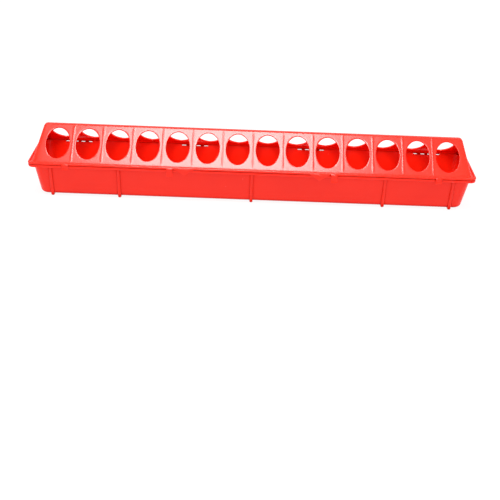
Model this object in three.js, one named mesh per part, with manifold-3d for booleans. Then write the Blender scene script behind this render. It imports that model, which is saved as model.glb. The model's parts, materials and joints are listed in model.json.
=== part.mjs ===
// Flip-top trough feeder for poultry: a long open trough with a hinged, roof-shaped lid of feeding holes.
// Millimetres. X runs along the trough, the front is -Y, Z is up, and the feet stand on z = 0.

import * as THREE from 'three';
import { ConvexGeometry } from 'three/addons/geometries/ConvexGeometry.js';
import { mergeVertices } from 'three/addons/utils/BufferGeometryUtils.js';
import Module from 'manifold-3d';

const wasm = await Module();
wasm.setup();

// ---- Driving dimensions ----

const LENGTH = 500;
const DEPTH = 94; // thumb tabs to hinge clips
const HEIGHT = 75.3;
const GAP = 0.3; // running gap between neighbours
const ARC_STEPS = 3; // half the segments of a quarter arc
const OVERRUN = 1; // how far a cutter runs past the face it opens

// Trough
const FOOT_HEIGHT = 1.5;
const BASE_Z = FOOT_HEIGHT;
const BASE_HALF_LENGTH = 239;
const BASE_HALF_WIDTH = 31;
const END_DRAFT = 0.16; // outward run for each millimetre of height
const SIDE_DRAFT = 0.222;
const TROUGH_WALL = 1.8;
const TROUGH_CORNER = 8;
const BASE_FILLET = 4;
const CAVITY_FILLET = 3;
const RIM_TOP = 41.4;
const RIM_PLATE = 1.6;
const RIM_LIP_BOTTOM = 38.4;
const RIM_LIP = 1.8;
const RIM_INSET = 0.3; // how far the rim stops short of the lid at the ends
const RIM_CORNER = 7;
const RIM_ROUND = 0.7;

// Lid
const FLANGE_BOTTOM = RIM_TOP + GAP;
const FLANGE_TOP = 44.2;
const FLANGE_PLATE = 1.5;
const FLANGE_FRONT = 45;
const FLANGE_CORNER = 7;
const BEAD_WIDTH = 2.4;
const BEAD_RADIUS = 0.9;
const LID_WALL = 1.6;
const OVERLAP = 0.01; // of the two cutters that hollow the lid
const MOUTH_DROP = 0.7; // from the flange's top to where the roof's inner slopes begin
const ROOF_HALF_LENGTH = 245;
const ROOF_HALF_WIDTH = 40;
const ROOF_CORNER = 5;
const ROOF_CORNER_TAPER = 0.09;
const RIDGE_HALF_LENGTH = 236.5;
const RIDGE_HALF_WIDTH = 2.5;
const RIDGE_ROUND = 1.2;
const RIDGE_SETBACK = 0.6;

// Feeding holes
const HOLES_PER_SIDE = 14;
const HOLE_PITCH = 33.7;
const HOLE_WIDTH = 26.7;
const HOLE_LENGTH = 39.8;
const HOLE_CENTRE = 0.5; // of the way up the slope
const HOLE_CUT_BELOW = 4;
const HOLE_CUT_ABOVE = 3;
const DIVIDER_WIDTH = 1.4;
const DIVIDER_RISE = 0.6;
const DIVIDER_START = 0.5; // clear of the slope's foot
const DIVIDER_STOP = 1; // short of its top

// Hinge
const PIN_RADIUS = 1.4;
const PIN_Z = 39.5;
const HOOK_INNER = PIN_RADIUS + 0.35;
const HOOK_OUTER = 3.05;
const PIN_Y = DEPTH / 2 - HOOK_OUTER;
const FLANGE_REAR = PIN_Y - 0.45;
const EAR_RADIUS = 1.8;
const EAR_WIDTH = 3;
const HINGE_STATIONS = [-205.5, -68.5, 68.5, 205.5];
const HINGE_HALF_LENGTH = 15.5;
const WALL_NOTCH_Z = 38.7;
const LIP_NOTCH_Y = 40; // behind this the rim is notched right through
const LIP_NOTCH_Z = 37.3;
const HOOKS = [{ x: -8.5, width: 4 }, { x: 0, width: 3 }, { x: 8.5, width: 4 }];
const HOOK_START = 98; // degrees about the pin, from the rear and over the top
const HOOK_END = 355;
const CLIP_ROOT_Y = 40.4;
const CLIP_ROOT_TOP = 44;

// Front edge
const OUTER_REACH = 1.8; // how far a catch runs below the rim
const INNER_REACH = 5.2;
const CATCHES = [
  { x: -207.7, reach: OUTER_REACH },
  { x: -91.7, reach: INNER_REACH },
  { x: 91.7, reach: INNER_REACH },
  { x: 207.7, reach: OUTER_REACH },
];
const CATCH_WIDTH = 7;
const CATCH_THICKNESS = 1;
const CATCH_NIB = 0.8;
const CATCH_NIB_HEIGHT = 0.4;
const CATCH_LEAD = 0.6; // the slant of a catch's lower end
const CATCH_TOP = FLANGE_TOP - 0.7;
const TAB_STATIONS = [-75.5, 75.5];
const TAB_HALF_WIDTH = 11.5;
const TAB_TOP = FLANGE_TOP - 0.8;
const TAB_TIP_Z = 35;
const TAB_THICKNESS = 0.8;

// Support ribs
const RIB_STATIONS = [-225.5, -149.5, 0, 149.5, 225.5];
const RIB_WIDTH = 3.6;
const RIB_PROUD = 1.6;
const RIB_EDGE = 0.8;
const RIB_FOOT_ROUND = 2;

const RED = 0xe8200f;

// ---- Solids ----

function solid(geometry) {
  const bare = geometry.clone();
  bare.deleteAttribute('normal');
  bare.deleteAttribute('uv');
  const merged = mergeVertices(bare, 1e-4);
  return new wasm.Manifold(new wasm.Mesh({
    numProp: 3,
    vertProperties: new Float32Array(merged.attributes.position.array),
    triVerts: new Uint32Array(merged.index.array),
  }));
}

function toGeometry(body) {
  const { vertProperties, triVerts } = body.getMesh();
  const geometry = new THREE.BufferGeometry();
  geometry.setAttribute('position', new THREE.BufferAttribute(vertProperties, 3));
  geometry.setIndex(new THREE.BufferAttribute(triVerts, 1));
  geometry.computeVertexNormals();
  return geometry;
}

function named(name, body, roughness = 0.28) {
  const material = new THREE.MeshStandardMaterial({ color: RED, roughness, metalness: 0 });
  const mesh = new THREE.Mesh(toGeometry(body), material);
  mesh.name = name;
  return mesh;
}

function box(low, high) {
  const size = high.map((value, i) => value - low[i]);
  const middle = high.map((value, i) => (value + low[i]) / 2);
  return solid(new THREE.BoxGeometry(...size).translate(...middle));
}

// A rounded rectangle in X and Y.
function outline(halfLength, front, rear, corner) {
  const shape = new THREE.Shape();
  const x = halfLength - corner;
  shape.absarc(x, rear - corner, corner, 0, Math.PI / 2);
  shape.absarc(-x, rear - corner, corner, Math.PI / 2, Math.PI);
  shape.absarc(-x, corner - front, corner, Math.PI, 1.5 * Math.PI);
  shape.absarc(x, corner - front, corner, 1.5 * Math.PI, 2 * Math.PI);
  return shape;
}

// A plate between two heights, with both edges rounded where a radius is given.
function slab(shape, bottom, top, round = 0) {
  const geometry = new THREE.ExtrudeGeometry(shape, {
    depth: top - bottom - 2 * round,
    curveSegments: ARC_STEPS,
    bevelEnabled: round > 0,
    bevelThickness: round,
    bevelSize: round,
    bevelOffset: -round,
    bevelSegments: 3,
  });
  return solid(geometry.translate(0, 0, bottom + round));
}

// The convex body through a stack of rounded rectangles.
function stack(rings) {
  const points = rings.flatMap(({ halfLength, halfWidth, corner, z }) =>
    outline(halfLength, halfWidth, halfWidth, corner).getPoints(ARC_STEPS)
      .map((p) => new THREE.Vector3(p.x, p.y, z)));
  return solid(new ConvexGeometry(points));
}

// A profile drawn in Y and Z, extruded along X about a middle station.
function alongX(shape, x, width, edge = 0) {
  const geometry = new THREE.ExtrudeGeometry(shape, {
    depth: width - 2 * edge,
    curveSegments: 12,
    bevelEnabled: edge > 0,
    bevelThickness: edge,
    bevelSize: edge,
    bevelOffset: -edge,
    bevelSegments: 2,
  });
  geometry.translate(0, 0, edge - width / 2);
  const yzx = new THREE.Matrix4().makeBasis(
    new THREE.Vector3(0, 1, 0), new THREE.Vector3(0, 0, 1), new THREE.Vector3(1, 0, 0));
  return solid(geometry.applyMatrix4(yzx).translate(x, 0, 0));
}

function rodAlongX(x0, x1, y, z, radius, segments) {
  const rod = new THREE.CylinderGeometry(radius, radius, x1 - x0, segments);
  rod.rotateZ(Math.PI / 2);
  return solid(rod.translate((x0 + x1) / 2, y, z));
}

const join = (first, rest) => rest.reduce((body, next) => body.add(next), first);
const cut = (first, rest) => rest.reduce((body, next) => body.subtract(next), first);

// ---- Trough ----

// The tub's outer form, grown by `grow` and running up to `top`, with a rounded bottom edge.
function tub(grow, bottom, top, fillet) {
  const ring = (z, inset) => {
    const rise = z - BASE_Z;
    return {
      halfLength: BASE_HALF_LENGTH + rise * END_DRAFT + grow - inset,
      halfWidth: BASE_HALF_WIDTH + rise * SIDE_DRAFT + grow - inset,
      corner: TROUGH_CORNER + grow - inset / 2,
      z,
    };
  };
  const rings = [ring(top, 0)];
  for (let step = 0; step <= 3; step += 1) {
    const turn = (step / 3) * (Math.PI / 2);
    rings.push(ring(bottom + fillet * (1 - Math.sin(turn)), fillet * (1 - Math.cos(turn))));
  }
  return stack(rings);
}

function hingeNotch(x, nearY, low, high) {
  return box([x - HINGE_HALF_LENGTH, nearY, low], [x + HINGE_HALF_LENGTH, DEPTH, high]);
}

function troughBody() {
  const outer = tub(0, BASE_Z, RIM_TOP - RIM_PLATE / 2, BASE_FILLET);
  const cavity = tub(-TROUGH_WALL, BASE_Z + TROUGH_WALL, RIM_TOP + OVERRUN, CAVITY_FILLET);
  const rimEnd = LENGTH / 2 - RIM_INSET;
  const rim = slab(outline(rimEnd, FLANGE_FRONT, FLANGE_REAR, RIM_CORNER), RIM_LIP_BOTTOM, RIM_TOP,
    RIM_ROUND);
  const channel = slab(
    outline(rimEnd - RIM_LIP, FLANGE_FRONT - RIM_LIP, FLANGE_REAR - RIM_LIP, RIM_CORNER - RIM_LIP),
    RIM_LIP_BOTTOM - OVERRUN, RIM_TOP - RIM_PLATE).subtract(outer);
  const notches = HINGE_STATIONS.flatMap((x) => [
    hingeNotch(x, BASE_HALF_WIDTH, WALL_NOTCH_Z, RIM_TOP + OVERRUN),
    hingeNotch(x, LIP_NOTCH_Y, LIP_NOTCH_Z, RIM_TOP + OVERRUN),
  ]);
  const ears = HINGE_STATIONS.flatMap((x) => [-1, 1].map((side) => {
    const near = x + side * HINGE_HALF_LENGTH;
    const far = near + side * EAR_WIDTH;
    return rodAlongX(Math.min(near, far), Math.max(near, far), PIN_Y, PIN_Z, EAR_RADIUS, 16);
  }));
  return join(cut(outer.add(rim), [channel, cavity, ...notches]), ears);
}

function hingePin(x) {
  const half = HINGE_HALF_LENGTH - GAP;
  return rodAlongX(x - half, x + half, PIN_Y, PIN_Z, PIN_RADIUS, 16);
}

// A fin that wraps the front wall, the underside and the rear wall, and stands a little lower than both.
function supportRib(x) {
  const shape = new THREE.Shape();
  const top = RIM_TOP - RIM_PLATE - GAP;
  const foot = BASE_HALF_WIDTH + RIB_PROUD;
  const shoulder = foot + (top - BASE_Z) * SIDE_DRAFT;
  shape.moveTo(-shoulder, top);
  shape.lineTo(-foot, BASE_Z);
  shape.quadraticCurveTo(-foot, 0, RIB_FOOT_ROUND - foot, 0);
  shape.lineTo(foot - RIB_FOOT_ROUND, 0);
  shape.quadraticCurveTo(foot, 0, foot, BASE_Z);
  shape.lineTo(shoulder, top);
  return alongX(shape, x, RIB_WIDTH, RIB_EDGE).subtract(tub(GAP, BASE_Z - GAP, RIM_TOP, BASE_FILLET));
}

// ---- Lid ----

const SLOPE_RUN = ROOF_HALF_WIDTH - RIDGE_HALF_WIDTH;
const SLOPE_RISE = HEIGHT - FLANGE_TOP;
const SLOPE_LENGTH = Math.hypot(SLOPE_RUN, SLOPE_RISE);
const SLOPE_ANGLE = Math.atan2(SLOPE_RISE, SLOPE_RUN);
const END_LEAN = (ROOF_HALF_LENGTH - RIDGE_HALF_LENGTH) / SLOPE_RISE;

// The roof's outer form, or its inner form where `wall` is given, from `bottom` up to the ridge.
function roof(wall, bottom) {
  const sideIn = wall / Math.sin(SLOPE_ANGLE);
  const ring = (z, inset) => ({
    halfLength: ROOF_HALF_LENGTH - wall - (z - FLANGE_TOP) * END_LEAN - inset / 3,
    halfWidth: ROOF_HALF_WIDTH - sideIn - (z - FLANGE_TOP) / Math.tan(SLOPE_ANGLE) - inset,
    corner: Math.max(ROOF_CORNER - (z - FLANGE_TOP) * ROOF_CORNER_TAPER - wall, 1),
    z,
  });
  const top = HEIGHT - wall;
  const brow = top - RIDGE_ROUND;
  return stack([
    ring(bottom, 0), ring(brow, 0), ring(top - RIDGE_ROUND / 4, RIDGE_SETBACK / 6), ring(top, RIDGE_SETBACK),
  ]);
}

// Puts a body made around the origin, with +Z as its outward way, onto a slope. `along` runs up the slope.
function onSlope(geometry, side, x, along) {
  const y = side * (ROOF_HALF_WIDTH - along * Math.cos(SLOPE_ANGLE));
  const z = FLANGE_TOP + along * Math.sin(SLOPE_ANGLE);
  geometry.rotateX(-side * SLOPE_ANGLE);
  return solid(geometry.translate(x, y, z));
}

function feedingHole(side, x) {
  const oval = new THREE.Shape().absellipse(0, 0, HOLE_WIDTH / 2, HOLE_LENGTH / 2, 0, 2 * Math.PI);
  const depth = HOLE_CUT_BELOW + HOLE_CUT_ABOVE;
  const cutter = new THREE.ExtrudeGeometry(oval, { depth, bevelEnabled: false, curveSegments: 14 });
  return onSlope(cutter.translate(0, 0, -HOLE_CUT_BELOW), side, x, SLOPE_LENGTH * HOLE_CENTRE);
}

function divider(side, x) {
  const length = SLOPE_LENGTH - DIVIDER_START - DIVIDER_STOP;
  const strip = new THREE.BoxGeometry(DIVIDER_WIDTH, length, 2 * DIVIDER_RISE);
  return onSlope(strip, side, x, DIVIDER_START + length / 2);
}

function lidBody() {
  const plateTop = FLANGE_BOTTOM + FLANGE_PLATE;
  const flange = slab(
    outline(LENGTH / 2, FLANGE_FRONT, FLANGE_REAR, FLANGE_CORNER), FLANGE_BOTTOM, FLANGE_TOP, BEAD_RADIUS);
  const groove = slab(
    outline(LENGTH / 2 - BEAD_WIDTH, FLANGE_FRONT - BEAD_WIDTH, FLANGE_REAR - BEAD_WIDTH,
      FLANGE_CORNER - BEAD_WIDTH),
    plateTop, FLANGE_TOP + OVERRUN);
  const mouthZ = FLANGE_TOP - MOUTH_DROP;
  const innerFoot = ROOF_HALF_WIDTH - LID_WALL / Math.sin(SLOPE_ANGLE);
  const mouthHalfWidth = innerFoot + MOUTH_DROP / Math.tan(SLOPE_ANGLE);
  const mouthHalfLength = ROOF_HALF_LENGTH - LID_WALL + MOUTH_DROP * END_LEAN;
  const mouth = slab(
    outline(mouthHalfLength, mouthHalfWidth, mouthHalfWidth, ROOF_CORNER - LID_WALL),
    FLANGE_BOTTOM - OVERRUN, mouthZ);
  const firstHole = -HOLE_PITCH * (HOLES_PER_SIDE - 1) / 2;
  const stations = [...Array(HOLES_PER_SIDE).keys()].map((i) => firstHole + i * HOLE_PITCH);
  const holes = stations.flatMap((x) => [-1, 1].map((side) => feedingHole(side, x)));
  const between = stations.slice(1).map((x) => x - HOLE_PITCH / 2);
  const dividers = between.flatMap((x) => [-1, 1].map((side) => divider(side, x)));
  const notches = HINGE_STATIONS.map((x) =>
    hingeNotch(x, CLIP_ROOT_Y - GAP, FLANGE_BOTTOM - OVERRUN, FLANGE_TOP + OVERRUN));
  const shell = join(flange.subtract(groove).add(roof(0, FLANGE_BOTTOM)), dividers);
  return cut(shell, [roof(LID_WALL, mouthZ - OVERLAP), mouth, ...holes, ...notches]);
}

// Three open hooks on one root, which snap over the pin and turn round it.
function hingeClip(x) {
  const half = HINGE_HALF_LENGTH - GAP;
  const root = box([x - half, CLIP_ROOT_Y, FLANGE_BOTTOM], [x + half, FLANGE_REAR, CLIP_ROOT_TOP]);
  const from = THREE.MathUtils.degToRad(HOOK_START);
  const to = THREE.MathUtils.degToRad(HOOK_END);
  const hook = new THREE.Shape();
  hook.absarc(PIN_Y, PIN_Z, HOOK_OUTER, from, to, false);
  hook.absarc(PIN_Y, PIN_Z, HOOK_INNER, to, from, true);
  return join(root, HOOKS.map((each) => alongX(hook, x + each.x, each.width)));
}

// A tongue in front of the rim, with a nib that springs under the rim's lip.
function snapCatch({ x, reach }) {
  const back = -FLANGE_FRONT - GAP;
  const front = back - CATCH_THICKNESS;
  const nib = -FLANGE_FRONT + CATCH_NIB;
  const under = RIM_LIP_BOTTOM - GAP;
  const tip = under - reach;
  const nibFoot = under - OUTER_REACH + CATCH_LEAD / 2;
  const shape = new THREE.Shape();
  shape.moveTo(front, CATCH_TOP);
  shape.lineTo(front, tip + CATCH_LEAD);
  shape.lineTo(back, tip);
  shape.lineTo(back, nibFoot);
  shape.lineTo(nib, under - CATCH_NIB_HEIGHT);
  shape.lineTo(nib, under);
  shape.lineTo(back, under);
  shape.lineTo(back, CATCH_TOP);
  return alongX(shape, x, CATCH_WIDTH);
}

// A creased, beak-shaped lip that the thumb lifts.
function thumbTab(x) {
  const back = -FLANGE_FRONT - GAP;
  const face = back - TAB_THICKNESS;
  const crease = -DEPTH / 2;
  const wings = [-TAB_HALF_WIDTH, TAB_HALF_WIDTH].flatMap((reach) => [
    new THREE.Vector3(x + reach, back, TAB_TOP),
    new THREE.Vector3(x + reach, face, TAB_TOP - TAB_THICKNESS),
    new THREE.Vector3(x + reach, back, FLANGE_BOTTOM),
    new THREE.Vector3(x + reach, face, FLANGE_BOTTOM + GAP),
  ]);
  const beak = [
    new THREE.Vector3(x, crease, TAB_TOP - TAB_THICKNESS),
    new THREE.Vector3(x, crease, TAB_TIP_Z + TAB_THICKNESS),
    new THREE.Vector3(x, face, TAB_TIP_Z),
    new THREE.Vector3(x, back, TAB_TIP_Z),
  ];
  return solid(new ConvexGeometry([...wings, ...beak]));
}

// ---- Assembly ----

const feeder = new THREE.Group();
const troughGroup = new THREE.Group();
const lidGroup = new THREE.Group();
feeder.add(troughGroup, lidGroup);

troughGroup.add(named('trough', troughBody()));
RIB_STATIONS.forEach((x, i) => troughGroup.add(named(`support_rib_${i + 1}`, supportRib(x))));
HINGE_STATIONS.forEach((x, i) => troughGroup.add(named(`hinge_pin_${i + 1}`, hingePin(x))));

lidGroup.add(named('lid', lidBody()));
HINGE_STATIONS.forEach((x, i) => lidGroup.add(named(`hinge_clip_${i + 1}`, hingeClip(x))));
CATCHES.forEach((each, i) => lidGroup.add(named(`snap_catch_${i + 1}`, snapCatch(each))));
TAB_STATIONS.forEach((x, i) => lidGroup.add(named(`thumb_tab_${i + 1}`, thumbTab(x))));

export default feeder;
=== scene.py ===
"""The looks of a flip-top trough feeder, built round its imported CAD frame.

Lengths in this script are millimetres in the CAD frame, until a mesh is made: MM turns them into metres.
"""

import json
import math

import bmesh
import bpy
from mathutils import Matrix, Vector


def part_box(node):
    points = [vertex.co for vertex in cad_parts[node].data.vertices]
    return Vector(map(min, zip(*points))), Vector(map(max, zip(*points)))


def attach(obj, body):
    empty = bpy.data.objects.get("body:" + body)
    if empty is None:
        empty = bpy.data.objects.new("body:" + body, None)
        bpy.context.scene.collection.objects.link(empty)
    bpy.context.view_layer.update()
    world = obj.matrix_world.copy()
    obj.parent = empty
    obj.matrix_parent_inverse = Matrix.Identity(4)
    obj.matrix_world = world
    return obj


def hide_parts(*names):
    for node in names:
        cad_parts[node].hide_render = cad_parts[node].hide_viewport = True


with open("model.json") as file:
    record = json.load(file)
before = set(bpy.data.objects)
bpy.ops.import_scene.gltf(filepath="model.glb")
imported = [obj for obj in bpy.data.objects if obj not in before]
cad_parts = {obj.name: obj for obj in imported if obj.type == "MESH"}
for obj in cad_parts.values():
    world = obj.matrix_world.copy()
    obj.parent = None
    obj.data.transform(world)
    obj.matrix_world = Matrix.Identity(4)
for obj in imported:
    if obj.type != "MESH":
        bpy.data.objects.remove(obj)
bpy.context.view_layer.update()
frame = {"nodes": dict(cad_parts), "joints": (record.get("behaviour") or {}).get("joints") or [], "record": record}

MM = 0.001
SIDES = (-1, 1)  # front and rear


# ---- Sizes read from the frame ----

def node_box(name):
    """A CAD node's lowest and highest corners, in millimetres."""
    low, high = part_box(name)
    return low / MM, high / MM


def node_middle(name):
    low, high = node_box(name)
    return (low + high) / 2


def numbered(prefix):
    """The CAD nodes called prefix_1, prefix_2 and so on, in order."""
    return sorted(n for n in frame["nodes"] if n.rsplit("_", 1)[0] == prefix)


LID_LOW, LID_HIGH = node_box("lid")
TROUGH_LOW, TROUGH_HIGH = node_box("trough")
HINGE = next(j for j in frame["joints"] if j["name"] == "lid_hinge")
PIN_Y, PIN_Z = HINGE["pos_m"][1] / MM, HINGE["pos_m"][2] / MM
HOLE_STATIONS = sorted(
    (o["box_m"][0][0] + o["box_m"][1][0]) / 2 / MM
    for o in frame["record"]["physics"]["openings"]
    if o["name"].startswith("feeding_holes")
)
HINGE_STATIONS = [node_middle(n).x for n in numbered("hinge_pin")]

# ---- Sizes of the mouldings' sections ----

LID_WALL = 1.6
FLANGE_BOTTOM = LID_LOW.z
FLANGE_TOP = 44.2
GROOVE_FLOOR = FLANGE_BOTTOM + 1.5
LID_END = LID_HIGH.x
FLANGE_FRONT = -LID_LOW.y
FLANGE_REAR = LID_HIGH.y
FLANGE_CORNER = 7
ROOF_TOP = LID_HIGH.z
ROOF_HALF_LENGTH = 245
ROOF_HALF_WIDTH = 40
ROOF_CORNER = 5
RIDGE_HALF_LENGTH = 236.5
RIDGE_HALF_WIDTH = 2.5
HOLE_WIDTH = 26.7
HOLE_LENGTH = 39.8
HOLE_CENTRE = 0.5
HOLE_EDGE = 0.3
DIVIDER_RISE = 0.3

SLOPE_RUN = ROOF_HALF_WIDTH - RIDGE_HALF_WIDTH
SLOPE_RISE = ROOF_TOP - FLANGE_TOP
SLOPE_LENGTH = math.hypot(SLOPE_RUN, SLOPE_RISE)
SLOPE_COS = SLOPE_RUN / SLOPE_LENGTH
SLOPE_SIN = SLOPE_RISE / SLOPE_LENGTH
END_LEAN = (ROOF_HALF_LENGTH - RIDGE_HALF_LENGTH) / SLOPE_RISE

BASE_Z = TROUGH_LOW.z
BASE_HALF_LENGTH = 239
BASE_HALF_WIDTH = 31
END_DRAFT = 0.16
SIDE_DRAFT = 0.222
TROUGH_WALL = 1.8
TROUGH_CORNER = 8
BASE_FILLET = 4
RIM_TOP = TROUGH_HIGH.z
RIM_PLATE = 1.6
RIM_LIP = 1.8
RIM_LIP_BOTTOM = 38.4
RIM_END = TROUGH_HIGH.x
RIM_CORNER = 7
HINGE_HALF_LENGTH = 15.5
WALL_NOTCH_Z = 39.15
EAR_RADIUS = 1.8
EAR_WIDTH = 3
PIN_RADIUS = 1.4
HOOK_INNER = PIN_RADIUS + 0.35
HOOK_OUTER = 3.05
HOOKS = ((-8.5, 4), (0, 3), (8.5, 4))  # middle and width along the pin

ARC = 8  # segments in a quarter arc of an outline
HAIRLINE = 0.01  # half the width of a ring that closes a face on its middle line


# ---- Mesh helpers ----

def make_piece(name, bm, material, body, *nodes, sharp=38):
    """Turns a bmesh in millimetres into a shaded object that stands for the given CAD nodes."""
    bmesh.ops.remove_doubles(bm, verts=bm.verts, dist=0.004)
    bmesh.ops.dissolve_degenerate(bm, edges=bm.edges, dist=0.002)
    bmesh.ops.recalc_face_normals(bm, faces=bm.faces)
    bmesh.ops.scale(bm, vec=(MM, MM, MM), verts=bm.verts)
    mesh = bpy.data.meshes.new(name)
    bm.to_mesh(mesh)
    bm.free()
    mesh.shade_smooth()
    mesh.set_sharp_from_angle(angle=math.radians(sharp))
    piece = bpy.data.objects.new(name, mesh)
    bpy.context.scene.collection.objects.link(piece)
    mesh.materials.append(material)
    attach(piece, body)
    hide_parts(*nodes)
    return piece


def bridge(bm, rows, skip=None, loop=True):
    """Joins rows of the same number of vertices with quads. skip(row, column) leaves a quad out."""
    for r in range(len(rows) - 1):
        count = len(rows[r])
        for c in range(count if loop else count - 1):
            if skip and skip(r, c):
                continue
            d = (c + 1) % count
            corners = [rows[r][c], rows[r][d], rows[r + 1][d], rows[r + 1][c]]
            if len(set(corners)) > 2:
                bm.faces.new(corners)


class Ring:
    """A rounded rectangle round the Z axis, with its front and rear sides split at the same stations."""

    def __init__(self, end, front, rear, corner, z, stations):
        self.z = z
        reach = max(end - corner, 0)
        xs = [max(-reach, min(reach, x)) for x in stations]
        self.points = [(x, -front) for x in xs]
        self.points += self.arc(reach, corner - front, corner, -90)
        self.points += self.arc(reach, rear - corner, corner, 0)
        self.points += [(x, rear) for x in reversed(xs)]
        self.points += self.arc(-reach, rear - corner, corner, 90)
        self.points += self.arc(-reach, corner - front, corner, 180)

    @staticmethod
    def arc(x, y, radius, start):
        turns = [math.radians(start + 90 * k / ARC) for k in range(ARC + 1)]
        return [(x + radius * math.cos(t), y + radius * math.sin(t)) for t in turns]

    def vertices(self, bm):
        return [bm.verts.new((x, y, self.z)) for x, y in self.points]


def quarter(radius, steps):
    """(along, down) of a quarter round, from the flat that it leaves to the flat that it meets."""
    turns = [math.pi / 2 * k / steps for k in range(steps + 1)]
    return [(radius * math.sin(t), radius * (1 - math.cos(t))) for t in turns]


# ---- Materials ----

def red_plastic(name, seed=0.0):
    """Glossy moulded polypropylene: faint flow marks, fine grain and handling scuffs, with painted shade in
    crevices, where ambient occlusion darkens the colour and dulls the shine.
    """
    material = bpy.data.materials.new(name)
    material.use_nodes = True
    nodes = material.node_tree.nodes
    links = material.node_tree.links
    shader = nodes["Principled BSDF"]

    def node(kind, **values):
        made = nodes.new(kind)
        for key, value in values.items():
            made.inputs[key].default_value = value
        return made

    coordinates = nodes.new("ShaderNodeTexCoord")
    mapping = node("ShaderNodeMapping", Location=(seed, seed * 0.7, 0))
    links.new(coordinates.outputs["Object"], mapping.inputs["Vector"])

    def noise(scale, detail, rough, distortion=0.0):
        made = node("ShaderNodeTexNoise", Scale=scale, Detail=detail, Roughness=rough, Distortion=distortion)
        links.new(mapping.outputs["Vector"], made.inputs["Vector"])
        return made

    def ramp(source, stops):
        made = nodes.new("ShaderNodeValToRGB")
        made.color_ramp.elements[0].position = stops[0][0]
        made.color_ramp.elements[0].color = stops[0][1]
        made.color_ramp.elements[1].position = stops[-1][0]
        made.color_ramp.elements[1].color = stops[-1][1]
        for place, colour in stops[1:-1]:
            made.color_ramp.elements.new(place).color = colour
        links.new(source, made.inputs["Fac"])
        return made

    flow = noise(14, 3, 0.5, 0.6)
    colour = ramp(flow.outputs["Fac"], [
        (0.3, (0.85, 0.0145, 0.0030, 1)),
        (0.5, (0.88, 0.0165, 0.0036, 1)),
        (0.7, (0.91, 0.0185, 0.0042, 1)),
    ])
    # Painted shade: ambient occlusion darkens the base colour in crevices, seams and under lips.
    painted_shade_ao = node("ShaderNodeAmbientOcclusion", Distance=0.007)
    painted_shade_ao.samples = 12
    painted_shade_tint = ramp(painted_shade_ao.outputs["AO"], [
        (0.15, (0.42, 0.25, 0.25, 1)),
        (0.5, (0.72, 0.62, 0.62, 1)),
        (0.78, (0.95, 0.93, 0.93, 1)),
        (0.92, (1, 1, 1, 1)),
    ])
    shaded = nodes.new("ShaderNodeMix")
    shaded.data_type = "RGBA"
    shaded.blend_type = "MULTIPLY"
    shaded.inputs["Factor"].default_value = 1
    links.new(colour.outputs["Color"], shaded.inputs["A"])
    links.new(painted_shade_tint.outputs["Color"], shaded.inputs["B"])
    links.new(shaded.outputs["Result"], shader.inputs["Base Color"])
    # Painted shade as well: the same occlusion lowers the specular shine in crevices, so they read dark.
    painted_shade_shine = ramp(painted_shade_ao.outputs["AO"], [
        (0.5, (0.04, 0.04, 0.04, 1)),
        (0.75, (0.12, 0.12, 0.12, 1)),
        (0.93, (0.28, 0.28, 0.28, 1)),
    ])
    links.new(painted_shade_shine.outputs["Color"], shader.inputs["Specular IOR Level"])

    scuff = noise(60, 8, 0.65, 0.2)
    gloss = ramp(scuff.outputs["Fac"], [
        (0.35, (0.22, 0.22, 0.22, 1)),
        (0.62, (0.25, 0.25, 0.25, 1)),
        (0.80, (0.32, 0.32, 0.32, 1)),
    ])
    links.new(gloss.outputs["Color"], shader.inputs["Roughness"])

    grain = noise(900, 2, 0.5)
    sink = noise(22, 2, 0.4)
    fine = node("ShaderNodeBump", Strength=0.05, Distance=0.0002)
    broad = node("ShaderNodeBump", Strength=0.05, Distance=0.0006)
    links.new(sink.outputs["Fac"], broad.inputs["Height"])
    links.new(grain.outputs["Fac"], fine.inputs["Height"])
    links.new(broad.outputs["Normal"], fine.inputs["Normal"])
    links.new(fine.outputs["Normal"], shader.inputs["Normal"])

    shader.inputs["IOR"].default_value = 1.49
    shader.inputs["Subsurface Weight"].default_value = 0.12
    shader.inputs["Subsurface Radius"].default_value = (1.0, 0.12, 0.06)
    shader.inputs["Subsurface Scale"].default_value = 0.003
    return material


LID_RED = red_plastic("lid_plastic")
TROUGH_RED = red_plastic("trough_plastic", seed=3.1)


# ---- Lid ----

CELL_HALF_END = 15.2  # from the outermost hole's centre to the end of its cell
CELL_ROWS = 20
CELL_COLUMNS = 12
DIVIDER_PROFILE = ((0, 1), (0.33, 1), (0.45, 0.9), (0.6, 0.1), (0.7, 0))  # offset, share of the rise
ROOF_CORNER_TAPER = 0.09
SMALLEST_CORNER = 0.8
MOUTH_DROP = 0.7  # from the flange's top to the foot of the roof's inner face
SILL_DROP = 0.22  # how far the mouth's sill hangs below the flange
SILL_WIDTH = 0.6
# The flange's edge, its bead and its groove: inset and height.
BEAD = (
    (0.7, FLANGE_BOTTOM), (0.2, FLANGE_BOTTOM + 0.2), (0, FLANGE_BOTTOM + 0.7),
    (0, FLANGE_TOP - 1.0), (0.25, FLANGE_TOP - 0.42), (0.75, FLANGE_TOP - 0.08), (1.2, FLANGE_TOP),
    (1.7, FLANGE_TOP - 0.08), (2.15, FLANGE_TOP - 0.42), (2.4, GROOVE_FLOOR + 0.12), (2.6, GROOVE_FLOOR),
)
# The ridge's shoulder: width beside the shoulder's own, drop below the crest, and setback of the end.
RIDGE_STEPS = ((0.25, 0.36, 0.3), (-0.35, 0.1, 0.9), (-1.0, 0, 1.7))
RIDGE_LINE_SETBACK = 3
END_ROUND = 0.16  # how fast the end face curls over below the ridge
END_ROUND_DEPTH = 2.4
ROW_LOW = 1.2
ROW_HIGH = SLOPE_LENGTH - 1.2


def slope_point(side, x, along, out):
    """A point on a slope: along runs up it from its foot, and out is its height off the surface."""
    y = side * (ROOF_HALF_WIDTH - along * SLOPE_COS + out * SLOPE_SIN)
    return x, y, FLANGE_TOP + along * SLOPE_SIN + out * SLOPE_COS


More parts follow.
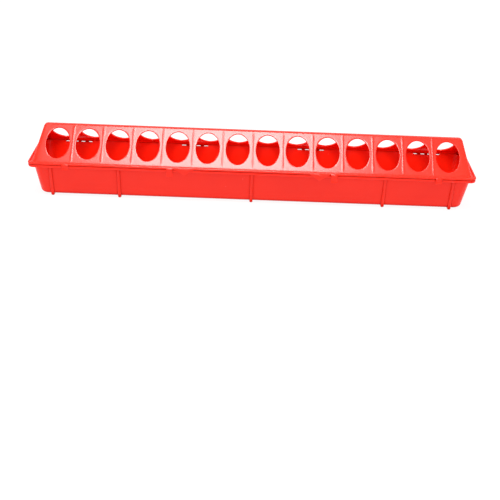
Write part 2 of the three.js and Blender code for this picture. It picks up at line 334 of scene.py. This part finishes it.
def cell_edges():
    """The ends of the cells that hold one feeding hole each."""
    between = [(a + b) / 2 for a, b in zip(HOLE_STATIONS, HOLE_STATIONS[1:])]
    return [HOLE_STATIONS[0] - CELL_HALF_END, *between, HOLE_STATIONS[-1] + CELL_HALF_END]


def cell_columns(x0, x1):
    """Stations across the clear middle of a cell, between its dividers' feet."""
    margin = DIVIDER_PROFILE[-1][0]
    step = (x1 - x0 - 2 * margin) / CELL_COLUMNS
    return [x0 + margin + step * k for k in range(CELL_COLUMNS + 1)]


def cell_stations(x0, x1):
    offsets = [offset for offset, _ in DIVIDER_PROFILE[:-1]]
    return [x0 + o for o in offsets] + cell_columns(x0, x1) + [x1 - o for o in reversed(offsets)]


def row_levels():
    return [ROW_LOW + (ROW_HIGH - ROW_LOW) * k / CELL_ROWS for k in range(CELL_ROWS + 1)]


def divider_rise(share, along):
    """The divider's height, which fades out over its last two rows at either end."""
    fade = min(along - ROW_LOW, ROW_HIGH - along) / 4
    return DIVIDER_RISE * share * max(0, min(1, fade)) ** 0.5


def divider_strips(bm, side, x0, x1, divided):
    """The half dividers along a cell's two edges."""
    for edge, way, raised in ((x0, 1, divided[0]), (x1, -1, divided[1])):
        rows = [
            [
                bm.verts.new(slope_point(side, edge + way * offset, along,
                                         divider_rise(share, along) if raised else 0))
                for offset, share in DIVIDER_PROFILE
            ]
            for along in row_levels()
        ]
        bridge(bm, rows, loop=False)


def plain_strips(bm, side, x0, x1):
    """The same strips on the inner face, which is flat."""
    for edge, way in ((x0, 1), (x1, -1)):
        rows = [
            [bm.verts.new(slope_point(side, edge + way * o, along, -LID_WALL)) for o, _ in DIVIDER_PROFILE]
            for along in row_levels()
        ]
        bridge(bm, rows, loop=False)


def cell_frame(x0, x1):
    """The points round the clear middle of a cell, in order."""
    xs, levels = cell_columns(x0, x1), row_levels()
    bottom = [(x, levels[0]) for x in xs[:-1]]
    right = [(xs[-1], s) for s in levels[:-1]]
    top = [(x, levels[-1]) for x in reversed(xs[1:])]
    left = [(xs[0], s) for s in reversed(levels[1:])]
    return bottom + right + top + left


def hole_cell(bm, side, x, x0, x1):
    """One feeding hole through the wall, with rounded lips, in the clear middle of its cell."""
    middle = SLOPE_LENGTH * HOLE_CENTRE
    a, b = HOLE_WIDTH / 2, HOLE_LENGTH / 2
    border = cell_frame(x0, x1)
    half_x = (x1 - x0) / 2 - DIVIDER_PROFILE[-1][0]
    half_s = (ROW_HIGH - ROW_LOW) / 2
    turns = [math.atan2((s - middle) / half_s, (px - x) / half_x) for px, s in border]

    def oval(grow, out):
        ring = []
        for t in turns:
            normal = Vector((math.cos(t) / a, math.sin(t) / b)).normalized()
            px = x + a * math.cos(t) + normal.x * grow
            s = middle + b * math.sin(t) + normal.y * grow
            ring.append((px, s, out))
        return ring

    def blend(ring, share, out):
        return [
            (px + (qx - px) * share, s + (qs - s) * share, out)
            for (px, s, _), (qx, qs) in zip(ring, border)
        ]

    outer = [oval(HOLE_EDGE - run, -drop) for run, drop in quarter(HOLE_EDGE, 3)]
    inner = [oval(HOLE_EDGE - run, drop - LID_WALL) for run, drop in quarter(HOLE_EDGE, 3)]
    spread = (1, 0.7, 0.42, 0.18)
    rows = [blend(outer[0], share, 0) for share in spread]
    rows += outer
    rows += list(reversed(inner))
    rows += [blend(inner[0], share, -LID_WALL) for share in reversed(spread)]
    bridge(bm, [[bm.verts.new(slope_point(side, *p)) for p in row] for row in rows])


def lid_stations():
    """Every station at which a long side is split, cell by cell."""
    edges = cell_edges()
    found = [edges[0]]
    for x0, x1 in zip(edges, edges[1:]):
        found += cell_stations(x0, x1)[1:]
    return found


def flange_ring(inset, z, stations):
    """A ring on the flange. The rear is narrower, so its bead and groove are drawn in by less."""
    corner = max(FLANGE_CORNER - inset, 1)
    return Ring(LID_END - inset, FLANGE_FRONT - inset, FLANGE_REAR - 0.6 * inset, corner, z, stations)


def roof_ring(along, out, stations):
    """A ring on the roof's outer face, or on its inner face where out is below zero."""
    _, width, z = slope_point(1, 0, along, out)
    rise = z - FLANGE_TOP
    end = ROOF_HALF_LENGTH - rise * END_LEAN + out * math.hypot(1, END_LEAN)
    end -= END_ROUND * max(along - ROW_HIGH + END_ROUND_DEPTH, 0) ** 2
    corner = max(ROOF_CORNER - ROOF_CORNER_TAPER * rise + min(out, 0), SMALLEST_CORNER)
    width = max(width, HAIRLINE)
    return Ring(end, width, width, min(corner, width), z, stations)


def ridge_rings(out, stations):
    """The rounded shoulder from the slope's top row to the ridge's middle line."""
    crest = ROOF_TOP + min(out, 0)
    shoulder = RIDGE_HALF_WIDTH - 0.3 if out == 0 else RIDGE_HALF_WIDTH - 0.9
    end = RIDGE_HALF_LENGTH - 0.1 + min(out, 0) - END_ROUND * (END_ROUND_DEPTH + 0.7) ** 2
    low = roof_ring(ROW_HIGH + 0.5, out, stations)
    rings = [low]
    for wider, drop, back in RIDGE_STEPS:
        width = shoulder + wider
        rings.append(Ring(end - back, width, width, min(1.5, width), crest - drop, stations))
    rings.append(Ring(end - RIDGE_LINE_SETBACK, HAIRLINE, HAIRLINE, HAIRLINE / 2, crest, stations))
    return rings


def lid_shell():
    """The roof, its flange and its bead in one skin, with the 28 feeding holes."""
    bm = bmesh.new()
    stations = lid_stations()
    mouth = ROOF_HALF_WIDTH - LID_WALL / SLOPE_SIN + MOUTH_DROP * SLOPE_COS / SLOPE_SIN
    mouth_end = ROOF_HALF_LENGTH - LID_WALL + MOUTH_DROP * END_LEAN
    sill = FLANGE_BOTTOM - SILL_DROP
    mouth_steps = ((0, FLANGE_TOP - MOUTH_DROP), (0, sill), (SILL_WIDTH, sill), (SILL_WIDTH, FLANGE_BOTTOM))
    mouth_rings = [
        Ring(mouth_end + out, mouth + out, mouth + out, ROOF_CORNER - LID_WALL, z, stations)
        for out, z in mouth_steps
    ]
    foot = [roof_ring(-1.15, 0.14, stations), roof_ring(-0.6, 0, stations)]
    rows = [roof_ring(s, 0, stations) for s in row_levels()]
    inner_rows = [roof_ring(s, -LID_WALL, stations) for s in row_levels()]
    rings = [flange_ring(inset, z, stations) for inset, z in BEAD] + foot + rows + ridge_rings(0, stations)
    inner = mouth_rings[:1] + inner_rows + ridge_rings(-LID_WALL, stations)
    inner = inner[::-1] + mouth_rings[1:]

    split = len(stations) - 1
    rear = len(stations) + 2 * (ARC + 1)

    def in_cells(column):
        return column < split or rear <= column < rear + split

    first = len(BEAD) + len(foot)
    bridge(bm, [r.vertices(bm) for r in rings], lambda r, c: first <= r < first + CELL_ROWS and in_cells(c))
    top = len(inner) - 1 - len(mouth_rings[1:]) - len(inner_rows)
    bridge(bm, [r.vertices(bm) for r in inner], lambda r, c: top <= r < top + CELL_ROWS and in_cells(c))
    bridge(bm, [mouth_rings[-1].vertices(bm), rings[0].vertices(bm)])

    edges = cell_edges()
    last = len(HOLE_STATIONS) - 1
    for side in SIDES:
        for i, x in enumerate(HOLE_STATIONS):
            x0, x1 = edges[i], edges[i + 1]
            divider_strips(bm, side, x0, x1, (i > 0, i < last))
            plain_strips(bm, side, x0, x1)
            hole_cell(bm, side, x, x0, x1)
    return make_piece("lid_shell", bm, LID_RED, "lid", "lid")


# ---- Trough ----

WALL_PANEL = 12  # the length that the long walls are split into
CAVITY_EDGE = 0.12  # the rounding of the wall's inner top edge
# The rim's edge and its turned-down lip: inset and height.
RIM = (
    (0.7, RIM_TOP), (0.2, RIM_TOP - 0.2), (0, RIM_TOP - 0.7),
    (0, RIM_LIP_BOTTOM + 1.1), (0.1, RIM_LIP_BOTTOM + 0.6), (0.35, RIM_LIP_BOTTOM + 0.2),
    (0.8, RIM_LIP_BOTTOM), (RIM_LIP - 0.5, RIM_LIP_BOTTOM), (RIM_LIP - 0.12, RIM_LIP_BOTTOM + 0.12),
    (RIM_LIP, RIM_LIP_BOTTOM + 0.5), (RIM_LIP, RIM_TOP - RIM_PLATE - 0.5),
    (RIM_LIP + 0.5, RIM_TOP - RIM_PLATE),
)


def tub_ring(grow, z, inset, stations):
    rise = z - BASE_Z
    end = BASE_HALF_LENGTH + rise * END_DRAFT + grow - inset
    width = BASE_HALF_WIDTH + rise * SIDE_DRAFT + grow - inset
    return Ring(end, width, width, TROUGH_CORNER + grow - inset / 2, z, stations)


def rim_ring(inset, z, stations):
    corner = RIM_CORNER - inset
    return Ring(RIM_END - inset, FLANGE_FRONT - inset, FLANGE_REAR - inset, corner, z, stations)


def floor_rings(grow, bottom, fillet, stations):
    """From a wall, round the fillet, to the middle line of the floor."""
    steps = 6
    rings = []
    for k in range(steps + 1):
        turn = math.pi / 2 * k / steps
        z = bottom + fillet * (1 - math.sin(turn))
        rings.append(tub_ring(grow, z, fillet * (1 - math.cos(turn)), stations))
    end = BASE_HALF_LENGTH + grow - fillet - 12
    rings.append(Ring(end, HAIRLINE, HAIRLINE, HAIRLINE / 2, bottom, stations))
    return rings


def trough_stations():
    """Where the long sides are split: at the hinge notches' ends, and evenly between."""
    reach = BASE_HALF_LENGTH - TROUGH_CORNER - BASE_FILLET
    found = {-reach, reach}
    for x in HINGE_STATIONS:
        found |= {x + HINGE_HALF_LENGTH * share for share in (-1, -0.5, 0, 0.5, 1)}
    stops = sorted(found)
    for low, high in zip(stops, stops[1:]):
        pieces = max(1, round((high - low) / WALL_PANEL))
        found |= {low + (high - low) * k / pieces for k in range(pieces)}
    return sorted(found)


def trough_shell():
    """The tub with its turned-down rim, notched at the rear where the hinges work."""
    bm = bmesh.new()
    stations = trough_stations()
    plate = RIM_TOP - RIM_PLATE
    cavity_edge = tub_ring(-TROUGH_WALL, RIM_TOP - CAVITY_EDGE, 0, stations)
    inside = floor_rings(-TROUGH_WALL, BASE_Z + TROUGH_WALL, BASE_FILLET - 1, stations)[::-1]
    inside += [tub_ring(-TROUGH_WALL, WALL_NOTCH_Z, 0, stations), cavity_edge,
               tub_ring(-TROUGH_WALL + CAVITY_EDGE, RIM_TOP, 0, stations)]
    outside = [tub_ring(0.5, plate, 0, stations), tub_ring(0, plate - 0.5, 0, stations),
               tub_ring(0, WALL_NOTCH_Z, 0, stations)]
    outside += floor_rings(0, BASE_Z, BASE_FILLET, stations)
    rings = inside + [rim_ring(inset, z, stations) for inset, z in RIM] + outside
    low = len(inside) - 3
    high = low + 2 + len(RIM) + 3
    rear = len(stations) + 2 * (ARC + 1)
    spans = list(zip(stations, stations[1:]))[::-1]

    def notched(x0, x1):
        middle = (x0 + x1) / 2
        return any(abs(middle - x) < HINGE_HALF_LENGTH for x in HINGE_STATIONS)

    def skip(row, column):
        k = column - rear
        return low <= row < high and 0 <= k < len(spans) and notched(*spans[k])

    rows = [r.vertices(bm) for r in rings]
    bridge(bm, rows, skip)
    for k, span in enumerate(spans):
        if notched(*span):
            c = rear + k
            bm.faces.new([rows[low][c], rows[low][c + 1], rows[high][c + 1], rows[high][c]])
    for x in HINGE_STATIONS:
        for edge in (x - HINGE_HALF_LENGTH, x + HINGE_HALF_LENGTH):
            c = rear + min(range(len(stations)), key=lambda k: abs(stations[::-1][k] - edge))
            bm.faces.new([rows[r][c] for r in range(low, high + 1)])
    for x in HINGE_STATIONS:
        for way in SIDES:
            near = x + way * HINGE_HALF_LENGTH
            rod(bm, near, near + way * EAR_WIDTH, PIN_Y, PIN_Z, EAR_RADIUS, 0.5)
    return make_piece("trough_shell", bm, TROUGH_RED, "trough", "trough")


def rod(bm, x0, x1, y, z, radius, round_off=0.3, segments=32):
    """A round bar along X with softened ends."""
    way = 1 if x1 > x0 else -1
    steps = quarter(round_off, 3)
    profile = [(x0, 0.001)] + [(x0 + way * (round_off - r), radius - d) for r, d in reversed(steps)]
    profile += [(x1 - way * (round_off - r), radius - d) for r, d in steps] + [(x1, 0.001)]
    rows = []
    for x, r in profile:
        turns = [2 * math.pi * k / segments for k in range(segments)]
        rows.append([bm.verts.new((x, y + r * math.cos(t), z + r * math.sin(t))) for t in turns])
    bridge(bm, rows)


# ---- Ribs, hinges, catches and tabs ----

def extrusion(bm, profile, x0, x1, edge=0.25):
    """A profile in Y and Z, given anticlockwise, drawn out along X with rounded edges."""
    count = len(profile)
    outward = []
    for k, (y, z) in enumerate(profile):
        (py, pz), (ny, nz) = profile[k - 1], profile[(k + 1) % count]
        before = Vector((z - pz, py - y)).normalized()
        after = Vector((nz - z, y - ny)).normalized()
        middle = (before + after).normalized()
        outward.append(middle / max(middle.dot(after), 0.5))
    rows = []
    ends = [(x0 + edge - math.sqrt(max(edge ** 2 - (edge - inset) ** 2, 0)), inset)
            for inset in (edge, edge * 0.5, edge * 0.134, 0)]
    ends += [(x0 + x1 - x, inset) for x, inset in reversed(ends)]
    for x, inset in ends:
        rows.append([
            bm.verts.new((x, y - o.x * inset, z - o.y * inset)) for (y, z), o in zip(profile, outward)
        ])
    bridge(bm, rows)
    bm.faces.new(rows[0])
    bm.faces.new(rows[-1])


def rounded(corners, radius, steps=4):
    """A closed profile with its corners rounded off. Each corner may carry a radius of its own."""
    profile = []
    count = len(corners)
    for k, corner in enumerate(corners):
        own = corner[2] if len(corner) > 2 else radius
        here = Vector(corner[:2])
        back = Vector(corners[k - 1][:2]) - here
        ahead = Vector(corners[(k + 1) % count][:2]) - here
        reach = min(own, back.length * 0.45, ahead.length * 0.45)
        start, end = here + back.normalized() * reach, here + ahead.normalized() * reach
        for step in range(steps + 1):
            t = step / steps
            point = start * (1 - t) ** 2 + here * 2 * t * (1 - t) + end * t ** 2
            profile.append((point.x, point.y))
    return profile


RIB_HALF_WIDTH = 1.8
RIB_PROUD = 1.6
RIB_ROUND = 1.4
RIB_SUNK = 0.6
RIB_FOOT_ROUND = 2


def support_rib(node):
    """A fin round the front wall, the underside and the rear wall, sunk a little into all three."""
    bm = bmesh.new()
    x = node_middle(node).x
    top = RIM_TOP - RIM_PLATE
    foot = BASE_HALF_WIDTH + RIB_PROUD
    fillet_z = BASE_Z + BASE_FILLET
    fillet_y = BASE_HALF_WIDTH + BASE_FILLET * SIDE_DRAFT - BASE_FILLET
    outer, inner = [], []
    for k in range(7):
        t = k / 6
        z = top + (BASE_Z - top) * t
        outer.append((foot + (z - BASE_Z) * SIDE_DRAFT, z))
        z = top + (fillet_z - top) * t
        inner.append((BASE_HALF_WIDTH + (z - BASE_Z) * SIDE_DRAFT - RIB_SUNK, z))
    for k in range(1, 7):
        t = k / 6
        outer.append((foot - RIB_FOOT_ROUND * t * t, BASE_Z * (1 - t) ** 2))
        turn = math.pi / 2 * t
        reach = BASE_FILLET - RIB_SUNK
        inner.append((fillet_y + reach * math.cos(turn), fillet_z - reach * math.sin(turn)))
    for t in (0.5, 1):
        outer.append((outer[12][0] * (1 - t), 0))
        inner.append((inner[12][0] * (1 - t), BASE_Z + RIB_SUNK))
    outer = [(-y, z) for y, z in outer] + [(y, z) for y, z in reversed(outer[:-1])]
    inner = [(-y, z) for y, z in inner] + [(y, z) for y, z in reversed(inner[:-1])]
    rows = []
    for o, i in zip(outer, inner):
        o, i = Vector(o), Vector(i)
        down = (i - o).normalized()
        arc = [(RIB_HALF_WIDTH - d, RIB_ROUND - r) for r, d in quarter(RIB_ROUND, 4)]
        side = [(RIB_HALF_WIDTH, None)] + arc
        section = [(-w, s) for w, s in side] + [(w, s) for w, s in reversed(side)]
        row = []
        for w, s in section:
            place = i if s is None else o + down * s
            row.append(bm.verts.new((x + w, place.x, place.y)))
        rows.append(row)
    bridge(bm, rows)
    bm.faces.new(rows[0])
    bm.faces.new(rows[-1])
    return make_piece(node + "_moulded", bm, TROUGH_RED, "trough", node)


PIN_SUNK = 0.5  # how far a pin runs into the ears


def hinge_pin(node):
    """A round bar between the ears of its notch."""
    bm = bmesh.new()
    low, high = node_box(node)
    rod(bm, low.x - PIN_SUNK, high.x + PIN_SUNK, PIN_Y, PIN_Z, PIN_RADIUS)
    return make_piece(node + "_moulded", bm, TROUGH_RED, "trough", node)


HOOK_START = 98  # degrees round the pin, from straight back
HOOK_END = 355
HOOK_STEPS = 28
HOOK_EDGE = 0.22
HOOK_TIP = 0.12  # radians past the hook's end
CLIP_ROOT = ((40.6, 41.75), (43.3, 41.75), (43.3, 43.1), (40.6, 43.1))
CLIP_ROOT_EDGE = 0.2


def hinge_clip(node):
    """Three open hooks round the pin, hung from the flange by a shared root."""
    bm = bmesh.new()
    low, high = node_box(node)
    middle = (low.x + high.x) / 2
    sweep = (HOOK_END - HOOK_START) / HOOK_STEPS
    turns = [math.radians(HOOK_START + sweep * k) for k in range(HOOK_STEPS + 1)]
    outer = [(PIN_Y + HOOK_OUTER * math.cos(t), PIN_Z + HOOK_OUTER * math.sin(t)) for t in turns]
    inner = [(PIN_Y + HOOK_INNER * math.cos(t), PIN_Z + HOOK_INNER * math.sin(t)) for t in reversed(turns)]
    between = (HOOK_INNER + HOOK_OUTER) / 2
    last = turns[-1] + HOOK_TIP
    tip = (PIN_Y + between * math.cos(last), PIN_Z + between * math.sin(last))
    profile = outer + [tip] + inner
    for x, width in HOOKS:
        extrusion(bm, profile, middle + x - width / 2, middle + x + width / 2, HOOK_EDGE)
    root = rounded(CLIP_ROOT, CLIP_ROOT_EDGE)
    extrusion(bm, root, low.x, high.x, CLIP_ROOT_EDGE)
    return make_piece(node + "_moulded", bm, LID_RED, "lid", node)


CATCH_EDGE = 0.12
CATCH_ROUND = 0.2
CATCH_GAP = 0.3  # between the tongue and the rim
CATCH_LIP = 1.9  # the height of the lip at the tongue's tip
NIB_DEPTH = 0.75


def snap_catch(node):
    """A tongue down the front of the rim, with a nib behind it and a lip to push it by."""
    bm = bmesh.new()
    low, high = node_box(node)
    front, tip = low.y, low.z
    back = -FLANGE_FRONT - CATCH_GAP
    under = RIM_LIP_BOTTOM - CATCH_GAP
    lip = tip + CATCH_LIP
    nib = -FLANGE_FRONT + NIB_DEPTH
    corners = [  # place and radius of each corner
        (-FLANGE_FRONT + 0.4, FLANGE_TOP - 0.75, 0.1),
        (back, FLANGE_TOP - 0.72, 0.3),
        (front, FLANGE_TOP - 1.75, 0.6),
        (front + 0.05, FLANGE_TOP - 2.9, 0.5),
        (front + 0.4, FLANGE_TOP - 3.5, 0.5),
        (front + 0.4, lip + 0.1, 0.3),
        (front, lip - 0.75, 0.35),
        (front + 0.05, tip + 0.45, 0.3),
        (back - 0.25, tip, 0.2),
        (back, tip + 0.25, 0.15),
        (back, under - 1.2, 0.3),
        (nib, under - 0.45, 0.2),
        (nib, under, 0.15),
        (back, under, 0.1),
        (back, FLANGE_BOTTOM + 0.25, 0.1),
        (-FLANGE_FRONT + 0.4, FLANGE_BOTTOM + 0.25, 0.1),
    ]
    extrusion(bm, rounded(corners, CATCH_ROUND), low.x, high.x, CATCH_EDGE)
    return make_piece(node + "_moulded", bm, LID_RED, "lid", node)


TAB_COLUMNS = 24
TAB_CREASE = 1.1  # above 1, the beak's sides are drawn in
TAB_SOFTEN = 0.0387  # rounds the start of the beak and its crease


def thumb_tab(node):
    """The flange's edge drawn down and forward into a creased beak."""
    bm = bmesh.new()
    low, high = node_box(node)
    middle, half = (low.x + high.x) / 2, (high.x - low.x) / 2
    rows = []
    for k in range(TAB_COLUMNS + 1):
        u = 2 * k / TAB_COLUMNS - 1
        lift = (1 - abs(u)) ** TAB_CREASE
        soft = math.hypot(lift, TAB_SOFTEN) - TAB_SOFTEN
        face = -FLANGE_FRONT - 0.05 + (low.y + FLANGE_FRONT + 0.05) * soft
        bottom = FLANGE_BOTTOM + 0.2 + (low.z - FLANGE_BOTTOM - 0.2) * soft
        top = FLANGE_TOP - 0.75 - 0.35 * soft
        back = -FLANGE_FRONT - 0.2 * min(1, 4 * lift)
        section = [
            (-FLANGE_FRONT + 0.5, top), (face + 0.75, top), (face + 0.3, top - 0.1),
            (face + 0.06, top - 0.35), (face, top - 0.8), (face, (top + bottom) / 2),
            (face, bottom + 0.5), (face + 0.08, bottom + 0.2), (face + 0.3, bottom),
            (min(back, face + 0.9), bottom + 0.05), (back + 0.02, bottom + 0.25),
            (back + 0.02, FLANGE_BOTTOM + 0.3), (-FLANGE_FRONT + 0.5, FLANGE_BOTTOM + 0.3),
        ]
        rows.append([bm.verts.new((middle + half * u, y, z)) for y, z in section])
    bridge(bm, rows)
    bm.faces.new(rows[0])
    bm.faces.new(rows[-1])
    return make_piece(node + "_moulded", bm, LID_RED, "lid", node, sharp=50)


lid_shell()
trough_shell()
for prefix, build in (
    ("support_rib", support_rib), ("hinge_pin", hinge_pin), ("hinge_clip", hinge_clip),
    ("snap_catch", snap_catch), ("thumb_tab", thumb_tab),
):
    for name in numbered(prefix):
        build(name)

# ---- Stage, light and camera ----

FLOOR_HALF_SIZE = 6  # metres
FLOOR_TONE = 0.15
FLOOR_GLOW = 0.9
CAMERA_TURN = -0.015  # degrees
CAMERA_RISE = 26.588
CAMERA_ROLL = 2.137
CAMERA_DISTANCE = 1181.8
CAMERA_SIDE = -1.46
CAMERA_UP = -68.44
FOCAL_LENGTH = 72.9
SENSOR = 36


def add_camera():
    turn, rise, roll = (math.radians(v) for v in (CAMERA_TURN, CAMERA_RISE, CAMERA_ROLL))
    back = Vector((math.sin(turn) * math.cos(rise), -math.cos(turn) * math.cos(rise), math.sin(rise)))
    level = Vector((math.cos(turn), math.sin(turn), 0))
    top = back.cross(level)
    right = math.cos(roll) * level + math.sin(roll) * top
    up = math.cos(roll) * top - math.sin(roll) * level
    place = (back * CAMERA_DISTANCE + right * CAMERA_SIDE + up * CAMERA_UP) * MM
    data = bpy.data.cameras.new("camera")
    data.sensor_width = SENSOR
    data.lens = FOCAL_LENGTH
    camera = bpy.data.objects.new("camera", data)
    bpy.context.scene.collection.objects.link(camera)
    axes = Matrix((right, up, back)).transposed().to_4x4()
    camera.matrix_world = Matrix.Translation(place) @ axes
    bpy.context.scene.camera = camera


def area_light(name, place, target, size, power):
    """A rectangular lamp of the given power in watts, at a place in metres, turned to its target."""
    data = bpy.data.lights.new(name, "AREA")
    data.shape = "RECTANGLE"
    data.size, data.size_y = size
    data.energy = power
    light = bpy.data.objects.new(name, data)
    bpy.context.scene.collection.objects.link(light)
    light.location = place
    aim = Vector(target) - Vector(place)
    light.rotation_euler = aim.to_track_quat("-Z", "Y").to_euler()
    return light


def add_floor():
    material = bpy.data.materials.new("floor_white")
    material.use_nodes = True
    shader = material.node_tree.nodes["Principled BSDF"]
    shader.inputs["Base Color"].default_value = (FLOOR_TONE, FLOOR_TONE, FLOOR_TONE, 1)
    shader.inputs["Roughness"].default_value = 0.9
    shader.inputs["Specular IOR Level"].default_value = 0.0
    shader.inputs["Emission Color"].default_value = (1, 1, 1, 1)
    shader.inputs["Emission Strength"].default_value = FLOOR_GLOW
    bm = bmesh.new()
    bmesh.ops.create_grid(bm, x_segments=8, y_segments=8, size=FLOOR_HALF_SIZE)
    mesh = bpy.data.meshes.new("floor")
    bm.to_mesh(mesh)
    bm.free()
    mesh.materials.append(material)
    floor = bpy.data.objects.new("floor", mesh)
    bpy.context.scene.collection.objects.link(floor)


def add_world():
    world = bpy.data.worlds.new("studio")
    world.use_nodes = True
    world.node_tree.nodes["Background"].inputs["Color"].default_value = (1, 1, 1, 1)
    world.node_tree.nodes["Background"].inputs["Strength"].default_value = 1.0
    bpy.context.scene.world = world


add_camera()
add_floor()
add_world()
area_light("overhead", (-0.075, -0.23, 1.05), (-0.075, 0, 0.05), (0.5, 0.5), 11)
sheen = area_light("sheen", (-0.065, -0.25, 1.15), (-0.065, 0, 0.05), (0.46, 0.5), 12)
sheen.visible_diffuse = False
bpy.context.scene.view_settings.view_transform = "Standard"
bpy.context.scene.view_settings.look = "None"
